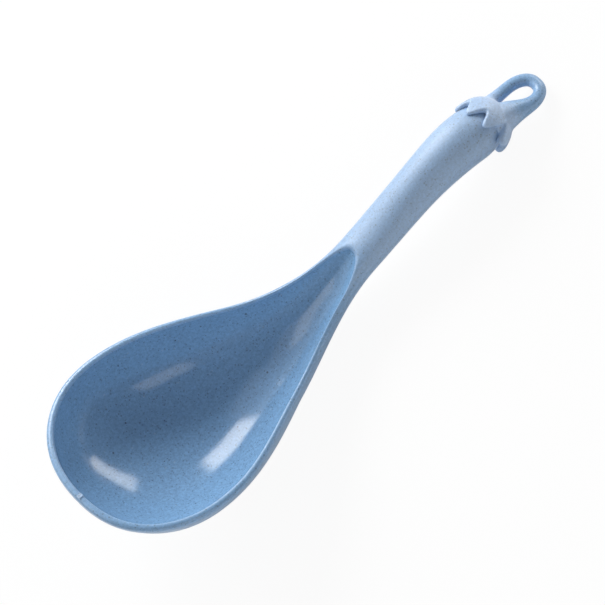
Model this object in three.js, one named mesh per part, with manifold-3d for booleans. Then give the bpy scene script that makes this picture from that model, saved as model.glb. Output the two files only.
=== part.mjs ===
// Soup spoon with a deep bowl, a hollow two-shell handle, a petalled end cap and a hanging loop.
// Millimetres, +Z up. The pieces are drawn in the frame of the bowl: x runs from the bowl's tip
// towards the loop, the rim lies in the plane z = 0, and y is to the spoon's side. At the end the
// whole spoon is turned the way it lies on a table, on the back of its bowl and on the handle's end.

import * as THREE from 'three';
import { mergeVertices } from 'three/addons/utils/BufferGeometryUtils.js';
import Module from 'manifold-3d';

const { lerp, clamp } = THREE.MathUtils;

// Bowl
const BOWL_LENGTH = 133;        // tip to the arch where the scoop ends on the handle
const BOWL_WIDTH = 77;
const BOWL_DEPTH = 30;          // rim plane to the underside
const WIDEST_X = 37.5;          // tip to the widest section
const DEEPEST_X = 52;           // tip to the deepest section
const NOSE_POWER = 2.1;         // roundness of the tip, 2 is an ellipse
const SECTION_POWER = 2.2;      // fullness of the bowl's cross-section, 2 is an ellipse
const RIM_THICKNESS = 2.7;
const RIM_CROWN = 1.4;          // height of the rounded rim above its widest line
const FLOOR_THICKNESS = 2.7;
const NECK_SCOOP_WIDTH = 13.2;  // scoop between the two rims as they run up the neck
const NECK_SCOOP_DEPTH = 4.5;
const ARCH_LENGTH = 15;         // rounded end of the scoop
const RESTING_FLAT_DEPTH = 0.4; // flat on the bowl's back where it lies on a table

// Handle
const HANDLE_LENGTH = 64;       // scoop end to the end face of the two shells
const HANDLE_RISE = 34;         // axis of the handle's end above the rim plane
const GRIP_WIDTH = 16.6;
const GRIP_THICKNESS = 16;
const NECK_CREST = 5.5;         // front of the neck above the handle's axis
const CREST_GROWTH = 34;        // stretch behind the scoop in which the front fills out to a full round
const END_DIAMETER = 19.4;
const SWELL_LEAD = 17;          // the grip starts to widen this far behind the scoop's end
const SWELL_POWER = 1.5;        // how late the widening comes
const BEND_LEAD = 47;           // the axis starts to rise this far before the scoop's end
const BEND_PULL = 36;           // reach of the lower bend
const CREST_PULL = 23;          // reach of the upper bend
const LEVEL_LENGTH = 1;         // level stretch between the upper bend and the rounded end
const DOME_LENGTH = 11;         // rounded end of the two shells, inside the cap
const DOME_END_DIAMETER = 14;

// Two-shell joint of the handle
const CLEARANCE = 0.3;          // between any two pieces that touch
const SHELL_WALL = 2.6;
const SEAM_LEAD = 6;            // the back shell starts this far behind the scoop's end
const SEAM_LAND = 4;            // solid front of the back shell before the hollow
const LIP_THICKNESS = 1.1;
const LIP_HEIGHT = 1.8;
const PEG_DIAMETER = 3;
const PEG_BOSS_DIAMETER = 6;
const PEG_REACH = 3;            // how far a peg enters its boss
const PEG_INSET = 7;            // from each end of the hollow to the peg beside it
const SOCKET_WALL = 12;         // solid end of the shells around the tang

// Petalled cap
const PETALS = 7;
const PETAL_TURN = 8;           // degrees from the handle's front to the nearest valley
const PETAL_LENGTH = 13.4;      // top of the cap to the petal tips
const VALLEY_LENGTH = 8.6;      // top of the cap to the valleys between the petals
const PETAL_THICKNESS = 2;
const PETAL_ROUND = 1;          // rounding of the petals' outer edge
const PETAL_FLARE = 1.2;        // how far a petal's tip turns outwards
const FLARE_POWER = 4;          // how late the turn comes
const CAP_TOP_THICKNESS = 4.7;  // on the axis
const CAP_POWER = 2.5;          // fullness of the cap's outside, 2 is an ellipse

// Hanging loop
const LOOP_REACH = 17.8;        // top of the cap to the far end of the loop
const LOOP_WIDTH = 17.3;
const LOOP_LIFT = 1.6;          // the loop sits this far in front of the handle's axis
const LOOP_POWER = 2.6;         // fullness of the loop's outline, 2 is an ellipse
const LOOP_WIDEST = 1;          // top of the cap to the widest place of the loop
const LOOP_BAR = 4.7;
const LOOP_FOOT_BAR = 7.6;      // the bar thickens where it meets the cap
const LOOP_FOOT_LENGTH = 8;     // stretch beyond the cap's top in which it thins
const TANG_WIDTH = 9;
const TANG_HEIGHT = 5;
const TANG_LENGTH = 10;         // inside the shells
const TANG_ROOT = 1.2;          // between the feet of the loop
const SNAP_RIDGE = 0.5;         // ridge on the tang that snaps into the socket's groove
const SNAP_LENGTH = 2;

// Facets and cutters
const AROUND = 36;              // points around a section
const PETAL_FACETS = 12;        // steps across one petal
const CAP_FACETS = 7;           // steps from the cap's top to its edge
const EDGE_FACETS = 3;          // steps around the petals' rounded edge
const BAR_FACETS = 12;          // points around the loop's bar
const POST_FACETS = 14;
const BLUNT = 0.03;             // first step of a rounded nose, as a share of its quarter turn
const LEAST_SCOOP = 0.35;       // the scoop's cutter ends this narrow and this shallow
const OVERSHOOT = 14;           // how far a cutter runs past what it cuts

// Places that follow from the sizes
const handleEndX = BOWL_LENGTH + HANDLE_LENGTH;
const domeStartX = handleEndX - DOME_LENGTH;
const bendStartX = BOWL_LENGTH - BEND_LEAD;
const crestX = domeStartX - LEVEL_LENGTH;
const seamStartX = BOWL_LENGTH + SEAM_LEAD;
const hollowStartX = seamStartX + SEAM_LAND;
const hollowEndX = handleEndX - SOCKET_WALL;
const pegStations = [hollowStartX + PEG_INSET, hollowEndX - PEG_INSET];
const capTopX = handleEndX + CLEARANCE + CAP_TOP_THICKNESS;
const capReach = capTopX - domeStartX;
const capBore = END_DIAMETER / 2 + CLEARANCE;
const capRadius = capBore + PETAL_THICKNESS;
const loopEndX = capTopX + LOOP_REACH;
// The rounded end is an ellipse, cut off square where it has narrowed to DOME_END_DIAMETER.
const domeCut = Math.sqrt(1 - (DOME_END_DIAMETER / END_DIAMETER) ** 2);

const wasm = await Module();
wasm.setup();

// A closed geometry as a solid for the cuts and joins.
function solid(geometry) {
  const bare = geometry.clone();
  bare.deleteAttribute('normal');
  bare.deleteAttribute('uv');
  const welded = mergeVertices(bare);
  const mesh = new wasm.Mesh({
    numProp: 3,
    vertProperties: new Float32Array(welded.attributes.position.array),
    triVerts: new Uint32Array(welded.index.array),
  });
  return new wasm.Manifold(mesh);
}

// A named mesh from a solid, with a moulded plastic material of its own.
function piece(name, body, colour, roughness) {
  const data = body.getMesh();
  const geometry = new THREE.BufferGeometry();
  geometry.setAttribute('position', new THREE.BufferAttribute(data.vertProperties, 3));
  geometry.setIndex(new THREE.BufferAttribute(data.triVerts, 1));
  geometry.computeVertexNormals();
  const material = new THREE.MeshStandardMaterial({ color: colour, roughness, metalness: 0 });
  const mesh = new THREE.Mesh(geometry, material);
  mesh.name = name;
  return mesh;
}

// Even steps from a to b, with both ends.
function steps(a, b, count) {
  return Array.from({ length: count + 1 }, (_, i) => lerp(a, b, i / count));
}

// Even turns around a circle.
function turns(count) {
  return steps(0, 2 * Math.PI, count).slice(0, count);
}

// The triangles that close a ring of points with a fan to its middle point.
function fan(first, around, middle, outward) {
  const index = [];
  for (let j = 0; j < around; j += 1) {
    const a = first + j;
    const b = first + ((j + 1) % around);
    index.push(middle, outward ? a : b, outward ? b : a);
  }
  return index;
}

// A closed skin over rings of points. Its ends are closed, or the last ring joins the first.
function skin(rings, closedEnds = true) {
  const around = rings[0].length;
  const points = rings.flat();
  const index = [];
  const spans = closedEnds ? rings.length - 1 : rings.length;
  for (let i = 0; i < spans; i += 1) {
    const here = i * around;
    const next = ((i + 1) % rings.length) * around;
    for (let j = 0; j < around; j += 1) {
      const k = (j + 1) % around;
      index.push(here + j, here + k, next + k);
      index.push(here + j, next + k, next + j);
    }
  }
  if (closedEnds) {
    for (const ring of [0, rings.length - 1]) {
      const middle = new THREE.Vector3();
      rings[ring].forEach((point) => middle.addScaledVector(point, 1 / around));
      points.push(middle);
      index.push(...fan(ring * around, around, points.length - 1, ring > 0));
    }
  }
  const geometry = new THREE.BufferGeometry().setFromPoints(points);
  geometry.setIndex(index);
  return geometry;
}

// Falls from 1 at start to 0 at end along half a cosine wave.
function fall(x, start, end) {
  const u = clamp((x - start) / (end - start), 0, 1);
  return 0.5 + 0.5 * Math.cos(Math.PI * u);
}

// Rounded nose: 0 at start, 1 from full onwards.
function nose(x, start, full) {
  const u = clamp((full - x) / (full - start), 0, 1);
  return (1 - u ** NOSE_POWER) ** (1 / NOSE_POWER);
}

// Stations along a rounded nose, close together where it is blunt.
function noseSteps(start, full, count) {
  return steps(BLUNT, 1, count).map((u) => full - (full - start) * Math.cos((u * Math.PI) / 2));
}

// Cosine and sine of a turn, swollen towards a square as the power grows past 2.
function swollen(turn, power) {
  const side = Math.cos(turn);
  const rise = Math.sin(turn);
  return [Math.sign(side) * Math.abs(side) ** (2 / power), Math.sign(rise) * Math.abs(rise) ** (2 / power)];
}

// The handle's axis: level under the bowl, an S-shaped rise, level again at the end.
const riseCurve = new THREE.CubicBezierCurve3(
  new THREE.Vector3(bendStartX, 0, 0),
  new THREE.Vector3(bendStartX + BEND_PULL, 0, 0),
  new THREE.Vector3(crestX - CREST_PULL, 0, HANDLE_RISE),
  new THREE.Vector3(crestX, 0, HANDLE_RISE),
);

// Height and slope of the axis at x.
function axisAt(x) {
  if (x <= bendStartX) return { z: 0, angle: 0 };
  if (x >= crestX) return { z: HANDLE_RISE, angle: 0 };
  let low = 0;
  let high = 1;
  for (let i = 0; i < 40; i += 1) {
    const middle = (low + high) / 2;
    if (riseCurve.getPoint(middle).x < x) low = middle;
    else high = middle;
  }
  const direction = riseCurve.getTangent(low);
  return { z: riseCurve.getPoint(low).z, angle: Math.atan2(direction.z, direction.x) };
}

// A point beside the axis at x: side along y, up square to the axis.
function beside(x, side, up) {
  const { z, angle } = axisAt(x);
  return new THREE.Vector3(x - up * Math.sin(angle), side, z + up * Math.cos(angle));
}

// The rounded end of the shells, as a share of the full radius.
function dome(x) {
  const u = clamp((x - domeStartX) / DOME_LENGTH, 0, 1);
  return Math.sqrt(1 - (u * domeCut) ** 2);
}

// Half-width, height above the axis and depth below it of the outer skin at x.
function outerSize(x) {
  const swell = (1 - fall(x, BOWL_LENGTH + SWELL_LEAD, domeStartX)) ** SWELL_POWER;
  const gripHalf = lerp(GRIP_WIDTH, END_DIAMETER, swell) / 2;
  const gripDeep = lerp(GRIP_THICKNESS, END_DIAMETER, swell) / 2;
  const neckUp = lerp(NECK_CREST, RIM_CROWN, fall(x, bendStartX, BOWL_LENGTH));
  const up = lerp(gripDeep, neckUp, fall(x, BOWL_LENGTH, BOWL_LENGTH + CREST_GROWTH));
  const half = lerp(gripHalf, BOWL_WIDTH / 2, fall(x, WIDEST_X, BOWL_LENGTH));
  const down = lerp(gripDeep, BOWL_DEPTH, fall(x, DEEPEST_X, BOWL_LENGTH));
  return {
    half: half * nose(x, 0, WIDEST_X) * dome(x),
    up: up * nose(x, 0, DEEPEST_X) * dome(x),
    down: down * nose(x, 0, DEEPEST_X) * dome(x),
    power: lerp(2, SECTION_POWER, fall(x, bendStartX, BOWL_LENGTH)),
  };
}

// One ring of the outer skin at x, drawn in by inset: round above the axis, fuller below it.
function outerRing(x, inset) {
  const { half, up, down, power } = outerSize(x);
  return turns(AROUND).map((turn) => {
    const above = turn <= Math.PI;
    const [side, rise] = swollen(turn, above ? 2 : power);
    return beside(x, (half - inset) * side, ((above ? up : down) - inset) * rise);
  });
}

// The whole outside of the spoon up to the end face of the handle.
function outerSolid() {
  const stations = [
    ...noseSteps(0, WIDEST_X, 11),
    ...steps(WIDEST_X, bendStartX, 9).slice(1),
    ...steps(bendStartX, crestX, 20).slice(1),
    ...noseSteps(0, DOME_LENGTH, 6).map((x) => handleEndX - x).reverse(),
    handleEndX,
  ];
  return solid(skin(stations.map((x) => outerRing(x, 0))));
}

// The rounded end of the scoop, as a share of its full width and depth.
function archEnd(x) {
  const u = clamp((x - BOWL_LENGTH + ARCH_LENGTH) / ARCH_LENGTH, 0, 1);
  return Math.sqrt(1 - u * u);
}

// Half-width of the scoop at x: a rim's thickness inside the bowl's outline, with an arch at its end.
function scoopHalf(x) {
  const bowlHalf = BOWL_WIDTH / 2 - RIM_THICKNESS;
  const plan = lerp(NECK_SCOOP_WIDTH / 2, bowlHalf, fall(x, WIDEST_X, BOWL_LENGTH));
  return Math.max(plan * nose(x, RIM_THICKNESS, WIDEST_X) * archEnd(x), LEAST_SCOOP);
}

// One ring of the scoop at x: a rounded trough below the rims, straight sides above them.
function scoopRing(x) {
  const { half, up } = outerSize(x);
  const inner = scoopHalf(x);
  const lip = up * Math.sqrt(Math.max(0, 1 - (inner / half) ** 2));
  const bowlDrop = lip + (BOWL_DEPTH - FLOOR_THICKNESS) * nose(x, RIM_THICKNESS, DEEPEST_X);
  const neckDrop = NECK_SCOOP_DEPTH * archEnd(x);
  const drop = Math.max(lerp(neckDrop, bowlDrop, fall(x, DEEPEST_X, BOWL_LENGTH)), LEAST_SCOOP);
  const trough = steps(Math.PI, 2 * Math.PI, AROUND - 2).map((turn) => {
    const [side, rise] = swollen(turn, SECTION_POWER);
    return beside(x, inner * side, lip + drop * rise);
  });
  return [...trough, beside(x, inner, lip + OVERSHOOT), beside(x, -inner, lip + OVERSHOOT)];
}

// What the scoop takes out of the bowl and the neck.
function scoopSolid() {
  const archStart = BOWL_LENGTH - ARCH_LENGTH;
  const stations = [
    ...noseSteps(RIM_THICKNESS, WIDEST_X, 11),
    ...steps(WIDEST_X, archStart, 18).slice(1),
    ...steps(0, 1 - BLUNT, 7).slice(1).map((u) => archStart + ARCH_LENGTH * Math.sin((u * Math.PI) / 2)),
  ];
  return solid(skin(stations.map(scoopRing)));
}

// The inside of the handle between two stations, drawn in from the outer skin by inset.
function handleCore(start, end, inset) {
  return solid(skin(steps(start, end, 10).map((x) => outerRing(x, inset))));
}

// A slab that follows the handle's axis between two stations and two heights.
function seamSlab(start, end, low, high) {
  const side = END_DIAMETER;
  const rings = steps(start, end, 16).map((x) => [
    beside(x, side, high),
    beside(x, -side, high),
    beside(x, -side, low),
    beside(x, side, low),
  ]);
  return solid(skin(rings));
}

// A round post square to the axis at x, from one height to another.
function post(x, diameter, low, high) {
  const middle = beside(x, 0, (low + high) / 2);
  const geometry = new THREE.CylinderGeometry(diameter / 2, diameter / 2, high - low, POST_FACETS);
  geometry.rotateX(Math.PI / 2);
  geometry.rotateY(-axisAt(x).angle);
  geometry.translate(middle.x, middle.y, middle.z);
  return solid(geometry);
}

// An oval bar along the handle's end, from one station to another.
function ovalBar(start, end, width, height) {
  const outline = new THREE.Shape();
  outline.absellipse(0, 0, width / 2, height / 2, 0, 2 * Math.PI);
  const options = { depth: end - start, bevelEnabled: false, curveSegments: 8 };
  const bar = new THREE.ExtrudeGeometry(outline, options);
  bar.rotateX(Math.PI / 2);
  bar.rotateZ(Math.PI / 2);
  bar.translate(start, 0, HANDLE_RISE);
  return solid(bar);
}

// The loop's tang with its snap ridge. Grown by a clearance it is the socket in the shells.
function tangSolid(grow) {
  const end = handleEndX - TANG_LENGTH - grow;
  const ridgeStart = handleEndX - (TANG_LENGTH + SNAP_LENGTH) / 2 - grow;
  const ridgeEnd = ridgeStart + SNAP_LENGTH + 2 * grow;
  const width = TANG_WIDTH + 2 * grow;
  const height = TANG_HEIGHT + 2 * grow;
  return ovalBar(end, capTopX + TANG_ROOT, width, height)
    .add(ovalBar(ridgeStart, ridgeEnd, width + 2 * SNAP_RIDGE, height + 2 * SNAP_RIDGE));
}

// Height of a point above a table through the origin that rises towards the handle by tilt.
function heightAbove(tilt, x, z) {
  return z * Math.cos(tilt) - x * Math.sin(tilt);
}

// Lowest height of the bowl's back above that table.
function bowlSupport(tilt) {
  const backs = steps(0, BOWL_LENGTH, 200).map((x) => heightAbove(tilt, x, axisAt(x).z - outerSize(x).down));
  return Math.min(...backs);
}

// Lowest height of the cap and the loop above that table.
function endSupport(tilt) {
  const loop = heightAbove(tilt, loopEndX - LOOP_BAR / 2, HANDLE_RISE + LOOP_LIFT) - LOOP_BAR / 2;
  const capPoints = turns(PETALS * PETAL_FACETS).flatMap((turn) => capRing(turn));
  return Math.min(loop, ...capPoints.map(({ x, z }) => heightAbove(tilt, x, z)));
}

// The tilt at which the flat on the bowl's back and the handle's end touch the table together.
function restingTilt() {
  let low = 0;
  let high = Math.PI / 4;
  for (let i = 0; i < 40; i += 1) {
    const middle = (low + high) / 2;
    if (endSupport(middle) > bowlSupport(middle) + RESTING_FLAT_DEPTH) low = middle;
    else high = middle;
  }
  return low;
}

const tilt = restingTilt();

// Everything below the table, which takes the flat off the bowl's back.
function tableSolid() {
  const box = new THREE.BoxGeometry(2 * BOWL_LENGTH, 2 * BOWL_WIDTH, 2 * OVERSHOOT);
  box.translate(BOWL_LENGTH, 0, bowlSupport(tilt) + RESTING_FLAT_DEPTH - OVERSHOOT);
  box.rotateY(-tilt);
  return solid(box);
}

const outer = outerSolid();
const hollow = handleCore(hollowStartX, hollowEndX, SHELL_WALL);
const socket = tangSolid(CLEARANCE);
const halfGap = CLEARANCE / 2;

// Bowl, neck and front half of the handle, moulded in one, with a rebate and two bosses for the back.
function spoonBody() {
  const skinAtLip = SHELL_WALL - LIP_THICKNESS - CLEARANCE;
  const rebate = handleCore(hollowStartX - LIP_THICKNESS - CLEARANCE, hollowEndX, skinAtLip)
    .intersect(seamSlab(seamStartX, handleEndX, 0, LIP_HEIGHT + CLEARANCE));
  const backHalf = seamSlab(seamStartX - halfGap, handleEndX + OVERSHOOT, -END_DIAMETER, halfGap);
  let body = outer.subtract(scoopSolid()).subtract(hollow).subtract(rebate);
  for (const x of pegStations) {
    const boss = post(x, PEG_BOSS_DIAMETER, 0, outerSize(x).up - SHELL_WALL / 2);
    const bore = post(x, PEG_DIAMETER + 2 * CLEARANCE, 0, PEG_REACH + CLEARANCE);
    body = body.add(boss).subtract(bore);
  }
  return body.subtract(backHalf).subtract(socket).subtract(tableSolid());
}

// Back half of the handle, with the lip and the two pegs that locate it.
function backShell() {
  const backHalf = seamSlab(seamStartX + halfGap, handleEndX + OVERSHOOT, -END_DIAMETER, -halfGap);
  const lip = handleCore(hollowStartX - LIP_THICKNESS, hollowEndX - CLEARANCE, SHELL_WALL - LIP_THICKNESS)
    .intersect(seamSlab(seamStartX, handleEndX, -SHELL_WALL, LIP_HEIGHT));
  let shell = outer.intersect(backHalf).add(lip).subtract(hollow);
  for (const x of pegStations) {
    shell = shell.add(post(x, PEG_DIAMETER, SHELL_WALL / 2 - outerSize(x).down, PEG_REACH));
  }
  return shell.subtract(socket);
}

// A point around the cap's axis, in the direction of turn from the handle's front.
function capPoint(turn, x, radius) {
  return new THREE.Vector3(x, radius * Math.sin(turn), HANDLE_RISE + radius * Math.cos(turn));
}

// Lift from the cap's widest circle at which its outside has gone a share of the way to its top.
function capLift(share) {
  return Math.asin(Math.sign(share) * Math.abs(share) ** (CAP_POWER / 2));
}

// Radius of the cap's outside at a lift, as a share of the widest, and how far along its axis that is.
function capCurve(lift) {
  const [, along] = swollen(lift, CAP_POWER);
  const [spread] = swollen(Math.max(lift, 0), CAP_POWER);
  return { spread, along };
}

// One closed outline through the cap's wall, in the direction of turn from the handle's front.
function capRing(turn) {
  const onPetal = 0.5 - 0.5 * Math.cos(PETALS * (turn + THREE.MathUtils.degToRad(PETAL_TURN)));
  const edgeX = capTopX - lerp(VALLEY_LENGTH, PETAL_LENGTH, onPetal);
  const innerReach = (DOME_LENGTH + CLEARANCE) / domeCut;
  const holeAcross = Math.sin(turn) / (TANG_WIDTH / 2 + CLEARANCE);
  const holeUp = Math.cos(turn) / (TANG_HEIGHT / 2 + CLEARANCE);
  const hole = 1 / Math.hypot(holeAcross, holeUp);
  const topLift = Math.PI / 2 - capLift(hole / capRadius);
  const edgeLift = capLift((edgeX + PETAL_ROUND - domeStartX) / capReach);
  const outside = steps(0, 1, CAP_FACETS).map((share) => {
    const { spread, along } = capCurve(lerp(topLift, edgeLift, share));
    const flare = PETAL_FLARE * onPetal * share ** FLARE_POWER;
    return { x: domeStartX + capReach * along, radius: capRadius * spread + flare };
  });
  const brink = outside[CAP_FACETS];
  const edge = steps(0, Math.PI / 2, EDGE_FACETS).slice(1).map((angle) => ({
    x: brink.x - PETAL_ROUND * Math.sin(angle),
    radius: brink.radius - PETAL_ROUND * (1 - Math.cos(angle)),
  }));
  const inside = steps(edgeX, handleEndX + CLEARANCE, CAP_FACETS).map((x) => {
    const u = Math.max(x - domeStartX, 0) / innerReach;
    return { x, radius: capBore * Math.sqrt(1 - u * u) };
  });
  const bottom = { x: handleEndX + CLEARANCE, radius: hole };
  return [...outside, ...edge, ...inside, bottom].map(({ x, radius }) => capPoint(turn, x, radius));
}

// Petalled cap over the rounded end of the shells, open in the middle for the tang.
function calyxCap() {
  const rings = turns(PETALS * PETAL_FACETS).map((turn) => capRing(-turn));
  return solid(skin(rings, false));
}

// Middle line of one limb of the loop: 0 at its widest place, a quarter turn at its far end.
function limbPoint(turn) {
  const middleX = capTopX + LOOP_WIDEST;
  const [side, along] = swollen(turn, LOOP_POWER);
  const x = middleX + (loopEndX - LOOP_BAR / 2 - middleX) * along;
  return new THREE.Vector3(x, ((LOOP_WIDTH - LOOP_BAR) / 2) * side, HANDLE_RISE + LOOP_LIFT);
}

// One limb, a round bar from inside the cap, where it is thickest, to a little past the far end.
function limbSolid() {
  const first = -Math.PI / 6;
  const last = 0.53 * Math.PI;
  const nudge = 0.01;
  const rings = steps(first, last, 20).map((turn) => {
    const centre = limbPoint(turn);
    const ahead = limbPoint(turn + nudge).sub(limbPoint(turn - nudge)).normalize();
    const across = new THREE.Vector3(-ahead.y, ahead.x, 0);
    const footEnd = capTopX + LOOP_FOOT_LENGTH;
    const radius = lerp(LOOP_BAR, LOOP_FOOT_BAR, fall(centre.x, limbPoint(first).x, footEnd)) / 2;
    return turns(BAR_FACETS).map((around) => {
      const point = centre.clone().addScaledVector(across, radius * Math.cos(around));
      point.z += radius * Math.sin(around);
      return point;
    });
  });
  return solid(skin(rings));
}

// Hanging loop: two limbs that meet at the far end, seated on the cap, and the tang that holds it.
function hangingLoop() {
  const capSpace = steps(0, (1 - BLUNT) * (Math.PI / 2), 2 * CAP_FACETS).map((lift) => {
    const { spread, along } = capCurve(lift);
    const x = domeStartX + (capReach + CLEARANCE) * along;
    return turns(AROUND).map((turn) => capPoint(-turn, x, (capRadius + CLEARANCE) * spread));
  });
  const right = limbSolid();
  return right.add(right.mirror([0, 1, 0])).subtract(solid(skin(capSpace))).add(tangSolid(0));
}

const spoon = new THREE.Group();
spoon.add(piece('spoon_body', spoonBody(), 0x84abd6, 0.3));
spoon.add(piece('handle_back_shell', backShell(), 0x86a9d2, 0.55));
spoon.add(piece('calyx_cap', calyxCap(), 0x86a9d2, 0.5));
spoon.add(piece('hanging_loop', hangingLoop(), 0x7fa3cd, 0.5));

// Lay the spoon on the table, with the middle of its footprint at the origin.
spoon.rotation.y = tilt;
const footprint = new THREE.Box3().setFromObject(spoon, true);
spoon.position.set(-(footprint.min.x + footprint.max.x) / 2, 0, -footprint.min.z);

export default spoon;
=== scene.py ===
import math

import bmesh
import bpy
import numpy as np
from mathutils import Matrix, Quaternion, Vector


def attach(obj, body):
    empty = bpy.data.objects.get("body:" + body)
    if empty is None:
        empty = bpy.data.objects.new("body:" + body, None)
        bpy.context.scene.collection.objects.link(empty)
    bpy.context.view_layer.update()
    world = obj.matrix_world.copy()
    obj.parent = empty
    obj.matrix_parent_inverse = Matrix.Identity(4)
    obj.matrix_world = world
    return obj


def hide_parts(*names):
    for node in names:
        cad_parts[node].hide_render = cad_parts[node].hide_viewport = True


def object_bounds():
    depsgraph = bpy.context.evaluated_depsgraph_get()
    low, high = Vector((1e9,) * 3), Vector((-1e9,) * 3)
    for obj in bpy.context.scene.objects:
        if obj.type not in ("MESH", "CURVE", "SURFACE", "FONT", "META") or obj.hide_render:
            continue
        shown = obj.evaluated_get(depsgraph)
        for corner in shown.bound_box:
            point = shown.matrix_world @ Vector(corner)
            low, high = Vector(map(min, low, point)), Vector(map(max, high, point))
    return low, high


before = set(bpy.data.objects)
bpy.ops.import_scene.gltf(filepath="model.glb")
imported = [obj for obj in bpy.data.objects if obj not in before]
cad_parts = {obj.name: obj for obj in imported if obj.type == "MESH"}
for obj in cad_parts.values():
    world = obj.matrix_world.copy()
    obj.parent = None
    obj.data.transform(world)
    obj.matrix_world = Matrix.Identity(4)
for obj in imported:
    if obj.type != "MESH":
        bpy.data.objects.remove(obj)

cad_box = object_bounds()

# The main forms, with the sizes of the solids, in millimetres and in the frame of the bowl: x runs from the
# tip to the loop, and the rim of the bowl lies at z = 0. A power sets how full a curve is.
MM = 0.001
BOWL_LENGTH = 133.0
BOWL_WIDTH = 77.0
BOWL_DEPTH = 30.0
WIDEST_X = 37.5
DEEPEST_X = 52.0
NOSE_POWER = 2.1
SECTION_POWER = 2.2
RIM_THICKNESS = 2.7
RIM_CROWN = 1.4
FLOOR_THICKNESS = 2.7
NECK_SCOOP_WIDTH = 13.2
NECK_SCOOP_DEPTH = 4.5
ARCH_LENGTH = 15.0
RESTING_FLAT_DEPTH = 0.4
HANDLE_LENGTH = 64.0
HANDLE_RISE = 34.0
GRIP_WIDTH = 16.6
GRIP_THICKNESS = 16.0
NECK_CREST = 5.5
CREST_GROWTH = 34.0
END_DIAMETER = 19.4
SWELL_LEAD = 17.0
SWELL_POWER = 1.5
BEND_LEAD = 47.0
BEND_PULL = 36.0
CREST_PULL = 23.0
LEVEL_LENGTH = 1.0
DOME_LENGTH = 11.0
DOME_END_DIAMETER = 14.0
CLEARANCE = 0.3
SEAM_LEAD = 6.0
PETALS = 7
PETAL_THICKNESS = 2.0
FLARE_POWER = 4.0
CAP_TOP_THICKNESS = 4.7
CAP_POWER = 2.5
LOOP_REACH = 17.8
LOOP_WIDTH = 17.3
LOOP_LIFT = 1.6
LOOP_POWER = 2.6
LOOP_WIDEST = 1.0
LOOP_BAR = 4.7
LOOP_FOOT_BAR = 7.6
LOOP_FOOT_LENGTH = 8.0
RESTING_TILT = 22.075     # degrees, the bowl's back and a petal of the cap touch the table

# Finer forms that the solids don't have, in millimetres
EDGE_ROUND = 1.7          # rounding of the scoop's edge, down its wall
EDGE_OUT = (1.3, 1.6)     # and over the rim, at the bowl and at the arch
RIM_ROUND = (1.2, 1.4)    # rounding of the rim's outer edge, across the rim and down the back
NEAR_BULGE = 1.8          # how much further out the rim lies on the -Y side
BULGE_FADE = (45, 80)     # it fades out between these places along the spoon
BULGE_SIDE = 30           # it is full from this far sideways
BULGE_DEPTH = 9           # and gone this far below the rim
GATE = (1.6, -4.1)        # where the moulding's gate left a low mark on the rim
GATE_SIZE = (1.7, 2.0, 0.35)   # along the rim, across it and high
GATE_BEVEL = 0.15
SEAM_GAP = 0.05           # parting line between the two handle shells
CAP_GAP = 0.12            # between the cap and the handle
# The petals as moulded, a little uneven: turn in degrees, length from the cap's top, lift of the tip
PETAL_TABLE = ((-189, 10.0, 0.0), (-137, 10.0, 0.4), (-79, 10.8, 1.1), (-30, 12.8, -0.3), (13.5, 14.2, -0.9),
               (58, 14.8, -0.9), (114, 12.0, -0.3), (171, 10.0, 0.0), (223, 10.0, 0.4))
# The notches between them: turn in degrees, length from the cap's top
VALLEY_TABLE = ((-163, 6.5), (-111, 6.5), (-55, 5.4), (-8, 8.6), (36, 10.0), (86, 9.0), (143, 7.0),
                (197, 6.5))
PETAL_FULLNESS = 0.9      # below 1 the petals are blunt and the notches between them sharp
PETAL_EDGE = 1.4          # rounding of the petals' edges
NEAR_LIMB = 4.4           # the limb on the -Y side has a thicker foot
NEAR_SWELL = (-3, 14)     # that fades out between these places, counted from the cap's top
FAR_FOOT = 5.8            # the other limb has a thinner foot
LIMB_PINCH = 1.1          # the limbs draw together towards the cap
PINCH_LENGTH = 12
REMESH = 0.25             # voxel of the smooth cap and loop
CAP_SMOOTHING = 14        # rounds of smoothing over the cap and loop
FEET_SMOOTHING = 70       # more rounds where the limbs run into the cap
FEET_START = (-5, -3)     # those fade in between these places, counted from the cap's top
FEET_END = (2, 7)         # and out between these

# Polish of the plastic, kept with each point of the meshes
POLISHED = 1.0            # inside of the bowl
SATIN = 0.0               # handle and cap
RIM_POLISH = 0.65         # the rim is less polished than the inside of the bowl
EDGE_POLISH = 0.35        # the rounding between them is duller still, and catches the light in a pale line
DULL_SHARE = 0.25         # the first part of the rounding, where the polish drops
LOOP_POLISH = 0.7         # the loop is smoother than the cap
LOOP_START = (-2, 5)      # and becomes so between these places, counted from the cap's top

# Camera fitted to the photograph
IMAGE_SIZE = 605
LEAN_ALONG = RESTING_TILT - 15.664   # degrees, towards the loop
LEAN_SIDE = 27.43         # degrees, towards -Y
ROLL = 44.1               # degrees, the handle points up to the right
MIDDLE_ALONG = 104.97     # where the middle of the picture lies from the bowl's tip, in millimetres
MIDDLE_ACROSS = 9.25
PIXELS_PER_MM = 2.847
CAMERA_DISTANCE = 1.5     # metres
CLIP_END = 10             # metres
SENSOR = 36.0

# Places along the spoon that follow from the sizes
HANDLE_END_X = BOWL_LENGTH + HANDLE_LENGTH
DOME_START_X = HANDLE_END_X - DOME_LENGTH
BEND_START_X = BOWL_LENGTH - BEND_LEAD
CREST_X = DOME_START_X - LEVEL_LENGTH
SEAM_START_X = BOWL_LENGTH + SEAM_LEAD
ARCH_START_X = BOWL_LENGTH - ARCH_LENGTH
CAP_TOP_X = HANDLE_END_X + CLEARANCE + CAP_TOP_THICKNESS
LOOP_END_X = CAP_TOP_X + LOOP_REACH
DOME_CUT = math.sqrt(1 - (DOME_END_DIAMETER / END_DIAMETER) ** 2)

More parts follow.
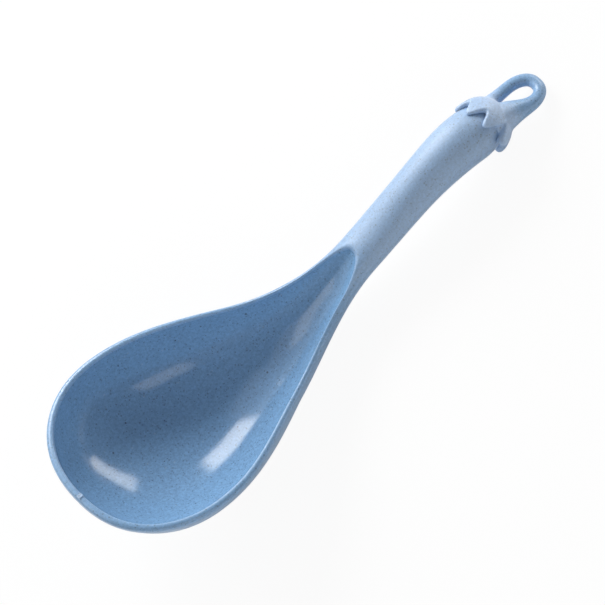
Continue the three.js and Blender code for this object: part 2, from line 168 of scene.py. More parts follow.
QUARTER_TURN = math.pi / 2
TINY = 1e-6               # keeps divisions away from zero
MIRROR = [1, -1, 1]
AXIS_SAMPLES = 2001
BACK_SAMPLES = 801


def lerp(a, b, t):
    return a + (b - a) * t


def fall(x, start, end):
    """1 at start, 0 at end, along half a cosine wave."""
    u = np.clip((x - start) / (end - start), 0, 1)
    return 0.5 + 0.5 * np.cos(math.pi * u)


def nose(x, start, full):
    """0 at start, 1 from full onwards, rounded."""
    u = np.clip((full - x) / (full - start), 0, 1)
    return (1 - u ** NOSE_POWER) ** (1 / NOSE_POWER)


# The handle's axis, an S-shaped rise, sampled along its curve
_t = np.linspace(0, 1, AXIS_SAMPLES)
_pull = np.array([[BEND_START_X, 0], [BEND_START_X + BEND_PULL, 0],
                  [CREST_X - CREST_PULL, HANDLE_RISE], [CREST_X, HANDLE_RISE]])
_share = np.stack([(1 - _t) ** 3, 3 * _t * (1 - _t) ** 2, 3 * _t ** 2 * (1 - _t), _t ** 3], 1)
AXIS_X, AXIS_Z = (_share @ _pull).T
AXIS_ANGLE = np.arctan2(np.gradient(AXIS_Z), np.gradient(AXIS_X))


def axis_height(x):
    return np.interp(x, AXIS_X, AXIS_Z)


def axis_angle(x):
    return np.interp(x, AXIS_X, AXIS_ANGLE, left=0, right=0)


def outer_size(x):
    """Half-width, height above the axis, depth below it and fullness of the outer skin at x."""
    swell = (1 - fall(x, BOWL_LENGTH + SWELL_LEAD, DOME_START_X)) ** SWELL_POWER
    grip_half = lerp(GRIP_WIDTH, END_DIAMETER, swell) / 2
    grip_deep = lerp(GRIP_THICKNESS, END_DIAMETER, swell) / 2
    neck_up = lerp(NECK_CREST, RIM_CROWN, fall(x, BEND_START_X, BOWL_LENGTH))
    up = lerp(grip_deep, neck_up, fall(x, BOWL_LENGTH, BOWL_LENGTH + CREST_GROWTH))
    half = lerp(grip_half, BOWL_WIDTH / 2, fall(x, WIDEST_X, BOWL_LENGTH))
    down = lerp(grip_deep, BOWL_DEPTH, fall(x, DEEPEST_X, BOWL_LENGTH))
    u = np.clip((x - DOME_START_X) / DOME_LENGTH, 0, 1)
    dome = np.sqrt(1 - (u * DOME_CUT) ** 2)
    wide = nose(x, 0, WIDEST_X) * dome
    deep = nose(x, 0, DEEPEST_X) * dome
    power = lerp(2, SECTION_POWER, fall(x, BEND_START_X, BOWL_LENGTH))
    return half * wide, up * deep, down * deep, power


def arch_end(x):
    """The rounded end of the scoop, as a share of its full width and depth."""
    u = np.clip((x - ARCH_START_X) / ARCH_LENGTH, 0, 1)
    return np.sqrt(1 - u * u)


def scoop_half(x):
    bowl_half = BOWL_WIDTH / 2 - RIM_THICKNESS
    plan = lerp(NECK_SCOOP_WIDTH / 2, bowl_half, fall(x, WIDEST_X, BOWL_LENGTH))
    return plan * nose(x, RIM_THICKNESS, WIDEST_X) * arch_end(x)


def share(y, half):
    return np.clip(np.abs(y) / np.maximum(half, TINY), 0, 1)


def crown_height(x, y):
    half, up, _, _ = outer_size(x)
    return up * np.sqrt(1 - share(y, half) ** 2)


def back_height(x, y):
    half, _, down, power = outer_size(x)
    return -down * (1 - share(y, half) ** power) ** (1 / power)


def scoop_depth(x):
    """Height of the scoop's edge and how far its floor lies below that."""
    half, up, _, _ = outer_size(x)
    edge = up * np.sqrt(1 - share(scoop_half(x), half) ** 2)
    bowl_drop = edge + (BOWL_DEPTH - FLOOR_THICKNESS) * nose(x, RIM_THICKNESS, DEEPEST_X)
    neck_drop = NECK_SCOOP_DEPTH * arch_end(x)
    return edge, lerp(neck_drop, bowl_drop, fall(x, DEEPEST_X, BOWL_LENGTH))


def scoop_height(x, y):
    edge, drop = scoop_depth(x)
    return edge - drop * (1 - share(y, scoop_half(x)) ** SECTION_POWER) ** (1 / SECTION_POWER)


def beside(x, side, up):
    """A point beside the axis at x, in the frame of the bowl."""
    angle = axis_angle(x)
    return np.stack([x - up * np.sin(angle), side, axis_height(x) + up * np.cos(angle)], -1)


# How the spoon lies on the table, on the flat of its bowl's back and on a petal of the cap
TILT = math.radians(RESTING_TILT)
BACK_X = np.linspace(0, BOWL_LENGTH, BACK_SAMPLES)
BACK_Z = axis_height(BACK_X) - outer_size(BACK_X)[2]
LIFT = -((BACK_Z * math.cos(TILT) - BACK_X * math.sin(TILT)).min() + RESTING_FLAT_DEPTH)
REACH = (BACK_X * math.cos(TILT) + BACK_Z * math.sin(TILT)).min()
SLIDE = cad_box[0][0] / MM - REACH


def on_table(points):
    """Points of the bowl's frame, in millimetres, as they lie on the table, in metres."""
    x, y, z = np.moveaxis(np.asarray(points, float), -1, 0)
    along = x * math.cos(TILT) + z * math.sin(TILT) + SLIDE
    rise = z * math.cos(TILT) - x * math.sin(TILT) + LIFT
    return np.stack([along, y, np.maximum(rise, 0)], -1) * MM


def along_spoon(points):
    """How far points on the table lie along the spoon, from the bowl's tip, in millimetres."""
    x, _, z = np.moveaxis(np.asarray(points, float) / MM, -1, 0)
    return (x - SLIDE) * math.cos(TILT) - (z - LIFT) * math.sin(TILT)


def near_bulge(points):
    """The rim on the -Y side lies a little further out than on the other side."""
    x, y, z = points.T
    back = np.minimum(x - WIDEST_X, 0)
    amount = NEAR_BULGE * fall(x, *BULGE_FADE) * (1 - fall(-y, 0, BULGE_SIDE)) * fall(-z, 0, BULGE_DEPTH)
    push = amount / np.maximum(np.hypot(back, y), TINY)
    return points + np.stack([push * back, push * y, 0 * z], -1)


# Mesh helpers
WELD_DISTANCE = 2e-6      # metres
FLAT_DISTANCE = 1e-7      # metres
SHARP_ANGLE = 50          # degrees


def add(name, data):
    """A new object in the scene."""
    made = bpy.data.objects.new(name, data)
    bpy.context.scene.collection.objects.link(made)
    return made


def keep_polish(mesh, values):
    """Store each point's polish in the mesh, for the material."""
    layer = mesh.attributes.new("polish", "FLOAT", "POINT")
    layer.data.foreach_set("value", values.astype(np.float32))


def weld(mesh):
    work = bmesh.new()
    work.from_mesh(mesh)
    bmesh.ops.remove_doubles(work, verts=work.verts, dist=WELD_DISTANCE)
    bmesh.ops.dissolve_degenerate(work, edges=work.edges, dist=FLAT_DISTANCE)
    bmesh.ops.recalc_face_normals(work, faces=work.faces)
    work.to_mesh(mesh)
    work.free()
    mesh.polygons.foreach_set("use_smooth", [True] * len(mesh.polygons))
    mesh.set_sharp_from_angle(angle=math.radians(SHARP_ANGLE))


class Patches:
    """Grids of points for the +Y half of a piece, mirrored to the other half and welded."""

    def __init__(self):
        self.points = []
        self.faces = []
        self.polish = []
        self.count = 0

    def grid(self, points, polish):
        rows, columns = points.shape[:2]
        index = self.count + np.arange(rows * columns).reshape(rows, columns)
        self.points.append(points.reshape(-1, 3))
        self.polish.append(np.broadcast_to(polish, (rows, columns)).reshape(-1))
        quads = np.stack([index[:-1, :-1], index[1:, :-1], index[1:, 1:], index[:-1, 1:]], -1)
        self.faces.extend(quads.reshape(-1, 4).tolist())
        self.count += rows * columns

    def build(self, name):
        points = np.concatenate(self.points)
        mesh = bpy.data.meshes.new(name)
        both = on_table(near_bulge(np.concatenate([points, points * MIRROR])))
        mirrored = [[i + self.count for i in reversed(face)] for face in self.faces]
        mesh.from_pydata(both.tolist(), [], self.faces + mirrored)
        keep_polish(mesh, np.tile(np.concatenate(self.polish), 2))
        weld(mesh)
        return add(name, mesh)


# Bowl, neck and the front of the handle
TIP_COLUMNS = 110
WALL_COLUMNS = 100
ARCH_COLUMNS = 40
FRONT_COLUMNS = 40
SCOOP_ROWS = 44
EDGE_ROWS = 7
CROWN_ROWS = 10
BACK_ROWS = 44
HANDLE_ROWS = 130
TIP_SPINE_X = 17.0        # the columns of the tip meet the middle line from here on
ARCH_SPINE = 5.0          # and those of the arch up to this far past its start
DEPTH_PROBE = 0.3         # the scoop's depth is taken this share of the way to the middle
MOST_OF_DEPTH = 0.45      # the edge's rounding takes no more than this share of that depth
MOST_OF_RIM = (0.4, 0.45)      # most that the inner and the outer rounding take of the rim's width
HALVINGS = 40             # steps of the search for the back's first row


def bowl_columns():
    """Plan points along half the spoon: the scoop's edge and spine, the outline and the back's spine."""
    u = np.linspace(0, QUARTER_TURN, TIP_COLUMNS)
    wall = np.linspace(WIDEST_X, ARCH_START_X, WALL_COLUMNS)[1:]
    w = np.linspace(0, 1, ARCH_COLUMNS + FRONT_COLUMNS)[1:]
    arch = np.sin(w * math.pi / 2)
    side = np.linspace(ARCH_START_X, SEAM_START_X, ARCH_COLUMNS)[1:]
    tip_spine = WIDEST_X - (WIDEST_X - TIP_SPINE_X) * np.cos(u)
    edge_x = np.concatenate([WIDEST_X - (WIDEST_X - RIM_THICKNESS) * np.cos(u), wall,
                             ARCH_START_X + ARCH_LENGTH * arch])
    spine_x = np.concatenate([tip_spine, wall, ARCH_START_X + ARCH_SPINE * arch])
    outer_x = np.concatenate([WIDEST_X - WIDEST_X * np.cos(u), wall, side])
    back_x = np.concatenate([tip_spine, wall, side])
    edge = (edge_x, scoop_half(edge_x))
    spine = (spine_x, np.zeros_like(spine_x))
    outer = (outer_x, outer_size(outer_x)[0])
    back = (back_x, np.zeros_like(back_x))
    return edge, spine, outer, back


def column(start, end, shares):
    """Plan points from start to end, one row for each share."""
    return [lerp(start[i][None], end[i][None], shares) for i in range(2)]


def inward(turn):
    """How far from the edge to the middle a point at that turn of the rounded section lies, as a share."""
    return 1 - np.cos(turn) ** (2 / SECTION_POWER)


def near_arch(x):
    return 1 - fall(x, BEND_START_X, BOWL_LENGTH)


def rim_polish(x):
    """Polish of the rim and the back, which ends beside the arch."""
    return RIM_POLISH * np.clip((SEAM_START_X - x) / (SEAM_START_X - ARCH_START_X), 0, 1)


def rounding(start, corner, end):
    """Rows of a rounded edge from start to end, in place of a sharp corner."""
    t = np.linspace(0, 1, EDGE_ROWS)[:, None, None]
    return (1 - t) ** 2 * start + 2 * t * (1 - t) * corner + t ** 2 * end


def end_face(points, x, up=0.0):
    """Faces between a row of points and the axis at x."""
    middle = beside(np.array([x]), np.zeros(1), np.full(1, up))
    return np.stack([points, np.repeat(middle, len(points), 0)], 1)


def scoop_rows(edge, spine):
    """Inside of the scoop, from below its rounded edge to the middle."""
    _, drop = scoop_depth(lerp(edge[0], spine[0], DEPTH_PROBE))
    start = np.minimum(EDGE_ROUND, MOST_OF_DEPTH * drop) / np.maximum(drop, TINY)
    first = np.arcsin(np.clip(start, 0, 1) ** (SECTION_POWER / 2))
    turn = lerp(first[None], QUARTER_TURN, np.linspace(0, 1, SCOOP_ROWS)[:, None])
    x, y = column(edge, spine, inward(turn))
    return beside(x, y, scoop_height(x, y))


def rim_rows(edge, outer, rounded):
    """Top of the rim between its two rounded edges, and its polish."""
    gap = np.maximum(np.hypot(outer[0] - edge[0], outer[1] - edge[1]), TINY)
    begin = np.clip(lerp(*EDGE_OUT, near_arch(edge[0])) / gap, 0, MOST_OF_RIM[0])
    stop = 1 - np.clip(RIM_ROUND[0] * rounded / gap, 0, MOST_OF_RIM[1])
    first, last = 1 - np.sqrt(1 - begin), 1 - np.sqrt(1 - stop)
    step = lerp(first[None], last[None], np.linspace(0, 1, CROWN_ROWS)[:, None])
    x, y = column(edge, outer, 1 - (1 - step) ** 2)
    return beside(x, y, crown_height(x, y)), rim_polish(x)


def back_rows(outer, back, drop):
    """Back of the bowl and neck, from that drop below the outer edge to the middle, and its polish."""
    low, high = np.zeros(len(drop)), np.full(len(drop), math.pi / 4)
    for _ in range(HALVINGS):
        first = (low + high) / 2
        x, y = column(outer, back, inward(first[None]))
        deep = -back_height(x, y)[0] > drop
        low, high = np.where(deep, low, first), np.where(deep, first, high)
    turn = lerp(low[None], QUARTER_TURN, np.linspace(0, 1, BACK_ROWS)[:, None])
    x, y = column(outer, back, inward(turn))
    return beside(x, y, back_height(x, y)), rim_polish(x)


def spoon_front():
    patches = Patches()
    edge, spine, outer, back = bowl_columns()
    joined = len(outer[0])
    scoop = scoop_rows(edge, spine)
    patches.grid(scoop, POLISHED)

    # Rim, from the scoop's edge outwards. Round the arch it runs on to the front of the handle.
    around = np.linspace(QUARTER_TURN, 0, FRONT_COLUMNS + 1)
    half = outer_size(np.array([SEAM_START_X]))[0][0]
    far_x = np.concatenate([outer[0], np.full(FRONT_COLUMNS, SEAM_START_X)])
    far_y = np.concatenate([outer[1], half * np.sin(around[1:])])
    rounded = fall(far_x, BEND_START_X, ARCH_START_X)
    crown, polish = rim_rows(edge, (far_x, far_y), rounded)
    patches.grid(crown, polish)

    # Rounded inner edge between the two
    t = np.linspace(0, 1, EDGE_ROWS)[:, None]
    edge_polish = lerp(POLISHED, lerp(EDGE_POLISH, polish[0], t), np.minimum(t / DULL_SHARE, 1))
    patches.grid(rounding(scoop[0], beside(*edge, crown_height(*edge)), crown[0]), edge_polish)

    # Back of the bowl and neck, and the rounded outer edge of the rim
    below, back_polish = back_rows(outer, back, RIM_ROUND[1] * rounded[:joined])
    patches.grid(below, back_polish)
    corner = beside(*outer, np.zeros(joined))
    patches.grid(rounding(crown[-1][:joined], corner, below[0]), polish[-1][:joined])

    # Front of the handle, its parting face and its two ends
    stations = np.linspace(SEAM_START_X, HANDLE_END_X, HANDLE_ROWS)[:, None]
    half, up, _, _ = outer_size(stations)
    skin = beside(stations + 0 * around, half * np.sin(around), up * np.cos(around))
    patches.grid(skin, SATIN)
    across = np.array([[1.0, 0.0]])
    patches.grid(beside(stations + 0 * across, half * across, 0 * half * across), SATIN)
    patches.grid(end_face(below[:, -1], SEAM_START_X), SATIN)
    patches.grid(end_face(skin[-1], HANDLE_END_X), SATIN)
    piece = patches.build("spoon_bowl_and_front")
    add_gate(piece.data)
    return piece


def add_gate(mesh):
    """The low mark that the moulding's gate left on the rim."""
    x, y = np.array(GATE[0]), np.array(GATE[1])
    place = Vector(on_table(beside(x, y, crown_height(x, y))).tolist())
    outward = math.atan2(GATE[0] - WIDEST_X, -GATE[1])
    turned = Matrix.Rotation(TILT, 4, "Y") @ Matrix.Rotation(outward, 4, "Z")
    size = Matrix.Diagonal((GATE_SIZE[0] * MM, GATE_SIZE[1] * MM, 2 * GATE_SIZE[2] * MM, 1))
    work = bmesh.new()
    work.from_mesh(mesh)
    made = bmesh.ops.create_cube(work, size=1, matrix=Matrix.Translation(place) @ turned @ size)
    edges = {e for v in made["verts"] for e in v.link_edges}
    bmesh.ops.bevel(work, geom=list(edges), offset=GATE_BEVEL * MM, segments=3, profile=0.5, affect="EDGES")
    work.to_mesh(mesh)
    work.free()


def back_shell():
    patches = Patches()
    stations = np.linspace(SEAM_START_X + SEAM_GAP, HANDLE_END_X, HANDLE_ROWS)[:, None]
    around = np.linspace(0, QUARTER_TURN, FRONT_COLUMNS)[None]
    half, _, down, _ = outer_size(stations)
    parting = np.full(HANDLE_ROWS, -SEAM_GAP)
    skin = beside(stations + 0 * around, half * np.cos(around), -down * np.sin(around))
    skin[:, 0] = beside(stations[:, 0], half[:, 0], parting)
    patches.grid(skin, SATIN)
    middle = beside(stations[:, 0], np.zeros(HANDLE_ROWS), parting)
    patches.grid(np.stack([skin[:, 0], middle], 1), SATIN)
    for row in (0, -1):
        patches.grid(end_face(skin[row], stations[row, 0], -SEAM_GAP), SATIN)
    return patches.build("handle_back")


# Petalled cap and hanging loop, one smooth form
PETAL_POINTS = 24         # points around each petal
OUTSIDE_RINGS = 24
PETAL_EDGE_RINGS = 6
INSIDE_RINGS = 14
TOP_TURN = 0.01           # radians between the middle of the cap's top and its first ring
LAST_RADIUS = 0.5         # of the ring that closes the inside
LIMB_TURNS = (-math.pi / 6, 0.53 * math.pi)   # radians, where a limb starts and ends
LIMB_RINGS = 60
LIMB_POINTS = 28
LIMB_STEP = 0.01          # radians, for the limb's direction
SMOOTHING_FACTOR = 0.5
LEAST_SMOOTHING = 0.01    # points with less are left as they are


def cap_fall(x, start, end):
    """1 at start, 0 at end, both counted from the cap's top."""
    return fall(x, CAP_TOP_X + start, CAP_TOP_X + end)


def ring_mesh(rings):
    """Points and faces of a closed skin over rings of points."""
    count, around = rings.shape[:2]
    faces = [list(range(around))[::-1], [(count - 1) * around + j for j in range(around)]]
    for i in range(count - 1):
        here, after = i * around, (i + 1) * around
        for j in range(around):
            k = (j + 1) % around
            faces.append([here + j, here + k, after + k, after + j])
    return rings.reshape(-1, 3).tolist(), faces


def swollen(turn, power):
    """Cosine and sine of a turn, swollen towards a square as the power grows past 2."""
    side, rise = np.cos(turn), np.sin(turn)
    return np.sign(side) * np.abs(side) ** (2 / power), np.sign(rise) * np.abs(rise) ** (2 / power)


def cap_rings():
    """Closed rings around the cap, from the middle of its top over the petals' edge to its inside."""
    turn = np.linspace(-math.pi, math.pi, PETALS * PETAL_POINTS, endpoint=False)[None]
    degrees = np.degrees(turn)
    turns, lengths, lifts = np.transpose(PETAL_TABLE)
    petal = np.interp(degrees, turns, np.arange(len(turns)))
    on_petal = (0.5 + 0.5 * np.cos(2 * math.pi * petal)) ** PETAL_FULLNESS
    valley = np.interp(degrees, *np.transpose(VALLEY_TABLE))
    edge_x = CAP_TOP_X - lerp(valley, np.interp(degrees, turns, lengths), on_petal)

    # Outside, flared towards the petals' tips
    reach = CAP_TOP_X - DOME_START_X
    radius = END_DIAMETER / 2 + CLEARANCE + PETAL_THICKNESS
    edge_lift = np.arcsin(((edge_x + PETAL_EDGE - DOME_START_X) / reach) ** (CAP_POWER / 2))
    way = np.linspace(0, 1, OUTSIDE_RINGS)[:, None]
    spread, along = swollen(lerp(QUARTER_TURN - TOP_TURN, edge_lift, way), CAP_POWER)
    outside_x = DOME_START_X + reach * along
    flare = np.interp(degrees, turns, lifts) * on_petal
    outside = radius * spread + flare * way ** FLARE_POWER

    # Rounded edge, and the inside around the handle's dome
    angle = np.linspace(0, QUARTER_TURN, PETAL_EDGE_RINGS + 1)[1:, None]
    edge_along = outside_x[-1] - PETAL_EDGE * np.sin(angle)
    edge = outside[-1] - PETAL_EDGE * (1 - np.cos(angle))
    inside_x = lerp(edge_x, HANDLE_END_X + CLEARANCE, np.linspace(0, 1, INSIDE_RINGS)[:, None])
    bore = END_DIAMETER / 2 + CAP_GAP
    u = np.maximum(inside_x - DOME_START_X, 0) / ((DOME_LENGTH + CLEARANCE) / DOME_CUT)
    inside = np.minimum(bore * np.sqrt(1 - u * u), edge[-1])
    x = np.concatenate([outside_x, edge_along, inside_x, inside_x[-1:]])
    away = np.concatenate([outside, edge, inside, np.full_like(turn, LAST_RADIUS)])
    return np.stack([x, away * np.sin(turn), HANDLE_RISE + away * np.cos(turn)], -1)


def limb_middle(turn):
    side, along = swollen(turn, LOOP_POWER)
    start = CAP_TOP_X + LOOP_WIDEST
    x = start + (LOOP_END_X - LOOP_BAR / 2 - start) * along
    return np.array([x, (LOOP_WIDTH - LOOP_BAR) / 2 * side, HANDLE_RISE + LOOP_LIFT])


def limb_rings(foot_bar, extra):
    """Rings around one limb of the loop, from inside the cap to past the middle of the loop's end."""
    around = np.linspace(0, 2 * math.pi, LIMB_POINTS, endpoint=False)[:, None]
    foot_x = limb_middle(LIMB_TURNS[0])[0]
    rings = []
    for turn in np.linspace(*LIMB_TURNS, LIMB_RINGS):
        ahead = limb_middle(turn + LIMB_STEP) - limb_middle(turn - LIMB_STEP)
        ahead /= np.linalg.norm(ahead)
        across = np.array([-ahead[1], ahead[0], 0])
        centre = limb_middle(turn)
        foot = fall(centre[0], foot_x, CAP_TOP_X + LOOP_FOOT_LENGTH)
        swell = extra / 2 * cap_fall(centre[0], *NEAR_SWELL)
        centre[1] -= swell + LIMB_PINCH * cap_fall(centre[0], 0, PINCH_LENGTH)
        radius = lerp(LOOP_BAR, foot_bar, foot) / 2 + swell
        rings.append(centre + radius * (np.cos(around) * across + np.sin(around) * np.array([0, 0, 1])))
    return np.array(rings)


def soften(piece, rounds, group=""):
    smooth = piece.modifiers.new("soft", "SMOOTH")
    smooth.factor = SMOOTHING_FACTOR
    smooth.iterations = rounds
    smooth.vertex_group = group


def settle(piece):
    """Put the shape that the modifiers give into the mesh. Returns where its points lie along the spoon."""
    bpy.context.view_layer.update()
    shaped = piece.evaluated_get(bpy.context.evaluated_depsgraph_get())
    finished = bpy.data.meshes.new_from_object(shaped)
    piece.modifiers.clear()
    piece.data = finished
    return along_spoon(np.array([v.co for v in finished.vertices]))


def cap_and_loop():
    points, faces = [], []
    near_limb = limb_rings(LOOP_FOOT_BAR, NEAR_LIMB) * MIRROR
    for rings in (cap_rings(), limb_rings(FAR_FOOT, 0.0), near_limb):
        new_points, new_faces = ring_mesh(rings)
        faces += [[i + len(points) for i in face] for face in new_faces]
        points += new_points
    mesh = bpy.data.meshes.new("calyx_and_loop")
    mesh.from_pydata(on_table(points).tolist(), [], faces)
    work = bmesh.new()
    work.from_mesh(mesh)
    bmesh.ops.recalc_face_normals(work, faces=work.faces)
    work.to_mesh(mesh)
    work.free()
    piece = add("calyx_and_loop", mesh)

    # One skin over the cap and both limbs, with soft edges
    remesh = piece.modifiers.new("one skin", "REMESH")
    remesh.mode = "VOXEL"
    remesh.voxel_size = REMESH * MM
    remesh.use_smooth_shade = True
    soften(piece, CAP_SMOOTHING)
    along = settle(piece)

    # Softer still where the limbs run into the cap
    near_feet = (1 - cap_fall(along, *FEET_START)) * cap_fall(along, *FEET_END)
    feet = piece.vertex_groups.new(name="feet")
    for i in np.flatnonzero(near_feet > LEAST_SMOOTHING):
        feet.add([int(i)], float(near_feet[i]), "REPLACE")
    soften(piece, FEET_SMOOTHING, feet.name)
    along = settle(piece)
    piece.vertex_groups.clear()
    # On the cap's material the polish also takes away the painted sheen, so the loop is darker than the cap
    keep_polish(piece.data, LOOP_POLISH * (1 - cap_fall(along, *LOOP_START)))
    return piece


# Materials. The first blue is the polished plastic's, the second the satin's. The cap's is a paler copy of
# the satin's, a painted sheen for the light that falls on the cap's top.
BLUE = (0.195, 0.355, 0.565)
BLOOM = (0.195, 0.355, 0.585)
# painted sheen: the cap's satin is paler than the handle's, for the light on its top
CAP_PAINTED_SHEEN = (0.26, 0.42, 0.66)
FINE_SPECK = (0.05, 0.065, 0.09)
COARSE_SPECK = (0.045, 0.06, 0.085)
PALE_SPECK = (0.5, 0.6, 0.7)
SATIN_ROUGHNESS = 0.6
SHEEN_ROUGHNESS = 0.4
GRAIN_DEPTH = 0.06        # millimetres


def node(tree, kind, **settings):
    made = tree.nodes.new(kind)
    for key, value in settings.items():
        setattr(made, key, value)
    return made


def speckled_plastic(name, satin_colour_and_sheen, polished_roughness):
    """Straw-filled plastic with clouds and specks. It goes from satin to polished with the mesh's polish."""
    material = bpy.data.materials.new(name)
    material.use_nodes = True
    tree = material.node_tree
    link = tree.links.new
    shader = tree.nodes["Principled BSDF"]
    where = node(tree, "ShaderNodeTexCoord").outputs["Object"]
    polish = node(tree, "ShaderNodeAttribute", attribute_name="polish").outputs["Fac"]

    def put(value, socket):
        """Set a number or a colour on a socket, or link an output to it."""
        if isinstance(value, tuple):
            socket.default_value = (*value, 1.0)
        elif isinstance(value, (int, float)):
            socket.default_value = value
        else:
            link(value, socket)

    def combine(kind, first, second):
        made = node(tree, "ShaderNodeMath", operation=kind, use_clamp=kind == "MULTIPLY")
        put(first, made.inputs[0])
        put(second, made.inputs[1])
        return made.outputs[0]

    def mix(factor, first, second, kind="MIX"):
        made = node(tree, "ShaderNodeMix", data_type="RGBA", blend_type=kind)
        put(factor, made.inputs[0])
        put(first, made.inputs[6])
        put(second, made.inputs[7])
        return made.outputs[2]

    def ranged(value, low, high, within=(0, 1)):
        """A value between low and high, for an input that lies within a range."""
        made = node(tree, "ShaderNodeMapRange")
        for key, limit in zip(("From Min", "From Max", "To Min", "To Max"), (*within, low, high)):
            made.inputs[key].default_value = limit
        link(value, made.inputs["Value"])
        return made.outputs["Result"]

    def noise(size, **settings):
        """Noise with blobs of about that size in millimetres."""
        made = node(tree, "ShaderNodeTexNoise")
        made.inputs["Scale"].default_value = 1 / (size * MM)
        for key, value in settings.items():
            made.inputs[key].default_value = value
        link(where, made.inputs["Vector"])
        return made.outputs["Fac"]

    def specks(cell, radius, chosen):
        """1 inside specks of up to that radius in millimetres, in the chosen share of cells."""
        cells = node(tree, "ShaderNodeTexVoronoi")
        cells.inputs["Scale"].default_value = 1 / (cell * MM)
        link(where, cells.inputs["Vector"])
        parts = node(tree, "ShaderNodeSeparateColor")
        link(cells.outputs["Color"], parts.inputs[0])
        size = combine("MULTIPLY", parts.outputs[0], radius / cell)
        inside = combine("LESS_THAN", cells.outputs["Distance"], size)
        picked = combine("LESS_THAN", parts.outputs[1], chosen)
        return combine("MULTIPLY", inside, picked)

    # Colour, mottled by clouds. On the cap the satin colour is paler, a painted sheen.
    clouds = noise(0.9, Detail=5, Roughness=0.75)
    body = mix(polish, satin_colour_and_sheen, BLUE)
    body = mix(1.0, body, ranged(clouds, 0.8, 1.2, within=(0.34, 0.66)), "MULTIPLY")

    # Fine dark specks, more of them in some places, then coarse dark ones and faint pale ones
    crowded = ranged(noise(7), 0.2, 0.85, within=(0.35, 0.65))
    fine = specks(cell=0.85, radius=0.34, chosen=crowded)
    body = mix(combine("MULTIPLY", fine, ranged(polish, 0.5, 0.45)), body, FINE_SPECK)
    coarse = specks(cell=3.4, radius=0.5, chosen=0.26)
    body = mix(combine("MULTIPLY", coarse, 0.7), body, COARSE_SPECK)
    pale = specks(cell=1.7, radius=0.4, chosen=0.2)
    body = mix(combine("MULTIPLY", pale, 0.2), body, PALE_SPECK)
    link(body, shader.inputs["Base Color"])

    # Surface: each input's value on satin and on polished plastic
    for key, satin_value, polished_value in (("Roughness", SATIN_ROUGHNESS, polished_roughness),
                                             ("Sheen Weight", 0.5, 0.0),
                                             ("Specular IOR Level", 1.0, 0.5),
                                             ("IOR", 2.1, 1.49)):
        link(ranged(polish, satin_value, polished_value), shader.inputs[key])
    shader.inputs["Sheen Roughness"].default_value = SHEEN_ROUGHNESS

    # Fine grain, stronger on satin
    bump = node(tree, "ShaderNodeBump")
    bump.inputs["Distance"].default_value = GRAIN_DEPTH * MM
    link(ranged(polish, 0.9, 0.3), bump.inputs["Strength"])
    link(noise(0.7, Detail=3), bump.inputs["Height"])
    link(bump.outputs["Normal"], shader.inputs["Normal"])
    return material


def dress(piece, material, slot, *nodes):
    piece.data.materials.clear()
    piece.data.materials.append(material)
    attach(piece, "root")
    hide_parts(*nodes)


polished = speckled_plastic("polished_blue_plastic", BLOOM, polished_roughness=0.12)
satin = speckled_plastic("satin_blue_plastic", BLOOM, polished_roughness=0.3)
# the cap's material has its satin colour painted paler, a painted sheen
satin_cap = speckled_plastic("satin_cap_painted_sheen", CAP_PAINTED_SHEEN, polished_roughness=0.3)
dress(spoon_front(), polished, "glossy_blue_plastic", "spoon_body")
dress(back_shell(), satin, "satin_blue_plastic", "handle_back_shell")
dress(cap_and_loop(), satin_cap, "satin_blue_plastic", "calyx_cap", "hanging_loop")


# Camera
lean, side, roll = (math.radians(a) for a in (LEAN_ALONG, LEAN_SIDE, ROLL))
along = Vector((math.cos(lean), 0, -math.sin(lean)))
above = Vector((math.sin(lean), 0, math.cos(lean)))
across = Vector((0, -math.cos(side), 0)) - math.sin(side) * above
toward = Vector((0, -math.sin(side), 0)) + math.cos(side) * above
right = math.cos(roll) * along + math.sin(roll) * across
up = math.sin(roll) * along - math.cos(roll) * across
tip = Vector(on_table((0.0, 0.0, 0.0)).tolist())
middle = tip + MM * (MIDDLE_ALONG * along + MIDDLE_ACROSS * across)
turned = Matrix((right, up, toward)).transposed().to_4x4()
camera_data = bpy.data.cameras.new("camera")
camera_data.sensor_width = SENSOR
camera_data.lens = PIXELS_PER_MM / MM * CAMERA_DISTANCE * SENSOR / IMAGE_SIZE
camera_data.clip_end = CLIP_END
camera = add("camera", camera_data)
camera.matrix_world = Matrix.Translation(middle + CAMERA_DISTANCE * toward) @ turned
bpy.context.scene.camera = camera


# Lights
LAMP_DISTANCE = 0.9       # metres


def softbox(name, around, above, width, height, radiance, turned=0):
    """A lamp that faces the spoon, placed by degrees around from +X and degrees above the table."""
    data = bpy.data.lights.new(name, "AREA")
    data.shape = "RECTANGLE"
    data.size = width
    data.size_y = height
    data.energy = radiance * math.pi * width * height
    a, b = math.radians(around), math.radians(above)
    aim = Vector((math.cos(b) * math.cos(a), math.cos(b) * math.sin(a), math.sin(b)))
    spin = Quaternion((0, 0, 1), math.radians(turned))
    lamp = add(name, data)
    lamp.location = aim * LAMP_DISTANCE
    lamp.rotation_euler = (aim.to_track_quat("Z", "Y") @ spin).to_euler()
    return lamp


softbox("left_softbox", 79, 37, 0.44, 0.335, 9.2, turned=32)
softbox("far_softbox", 18, 9.5, 0.52, 0.19, 6.3, turned=25)
softbox("near_softbox", -91, 36, 0.46, 0.26, 1.5, turned=-8)
softbox("tip_softbox", 150, 50, 0.4, 0.2, 1.6)
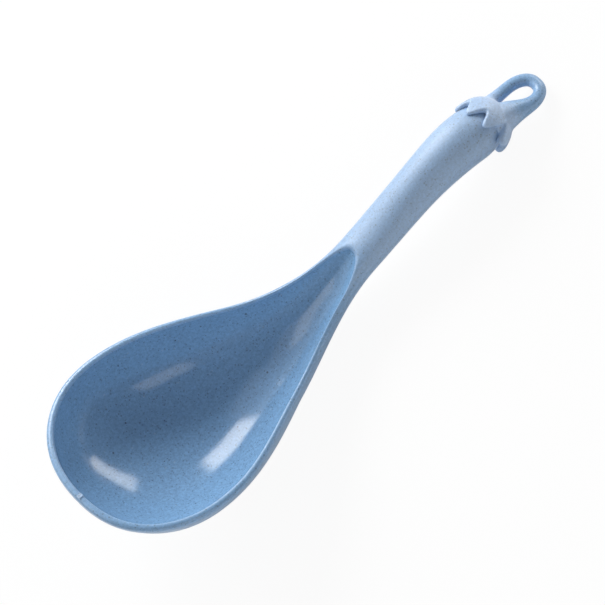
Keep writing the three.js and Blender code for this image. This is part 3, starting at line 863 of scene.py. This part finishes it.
# The bounces only brighten the plastic's colour, and the card only shows as a reflection
softbox("left_bounce", 92, 29, 0.8, 0.5, 4.8).visible_glossy = False
softbox("near_bounce", -125, 25, 0.9, 0.4, 1.9).visible_glossy = False
softbox("left_card", 134, 45, 0.9, 0.9, 0.6).visible_diffuse = False

# World and floor
WORLD_STRENGTH = 0.23
FLOOR_SIZE = 6.0          # metres
FLOOR_DROP = 0.0002       # metres below the spoon
FLOOR_GREY = 0.9
FLOOR_ROUGHNESS = 0.9
FLOOR_GLOW = 0.93         # share of white light that the camera sees in place of the lit paper

scene = bpy.context.scene
scene.view_settings.view_transform = "Standard"
world = bpy.data.worlds.new("studio")
scene.world = world
world.use_nodes = True
background = world.node_tree.nodes["Background"]
background.inputs["Color"].default_value = (1, 1, 1, 1)
background.inputs["Strength"].default_value = WORLD_STRENGTH


def floor_material():
    """White paper that shows a soft shadow, and is white where the camera sees it unshadowed."""
    material = bpy.data.materials.new("white_paper")
    material.use_nodes = True
    tree = material.node_tree
    link = tree.links.new
    shader = tree.nodes["Principled BSDF"]
    shader.inputs["Base Color"].default_value = (FLOOR_GREY, FLOOR_GREY, FLOOR_GREY, 1)
    shader.inputs["Roughness"].default_value = FLOOR_ROUGHNESS
    shader.inputs["Specular IOR Level"].default_value = 0.0
    amount = node(tree, "ShaderNodeMath", operation="MULTIPLY")
    link(node(tree, "ShaderNodeLightPath").outputs["Is Camera Ray"], amount.inputs[0])
    amount.inputs[1].default_value = FLOOR_GLOW
    mixed = node(tree, "ShaderNodeMixShader")
    link(amount.outputs[0], mixed.inputs[0])
    link(shader.outputs[0], mixed.inputs[1])
    link(node(tree, "ShaderNodeEmission").outputs[0], mixed.inputs[2])
    link(mixed.outputs[0], tree.nodes["Material Output"].inputs["Surface"])
    return material


reach = FLOOR_SIZE / 2
corners = [(-reach, -reach, 0), (reach, -reach, 0), (reach, reach, 0), (-reach, reach, 0)]
floor_mesh = bpy.data.meshes.new("floor")
floor_mesh.from_pydata(corners, [], [(0, 1, 2, 3)])
floor_mesh.materials.append(floor_material())
floor = add("floor", floor_mesh)
floor.location.z = -FLOOR_DROP
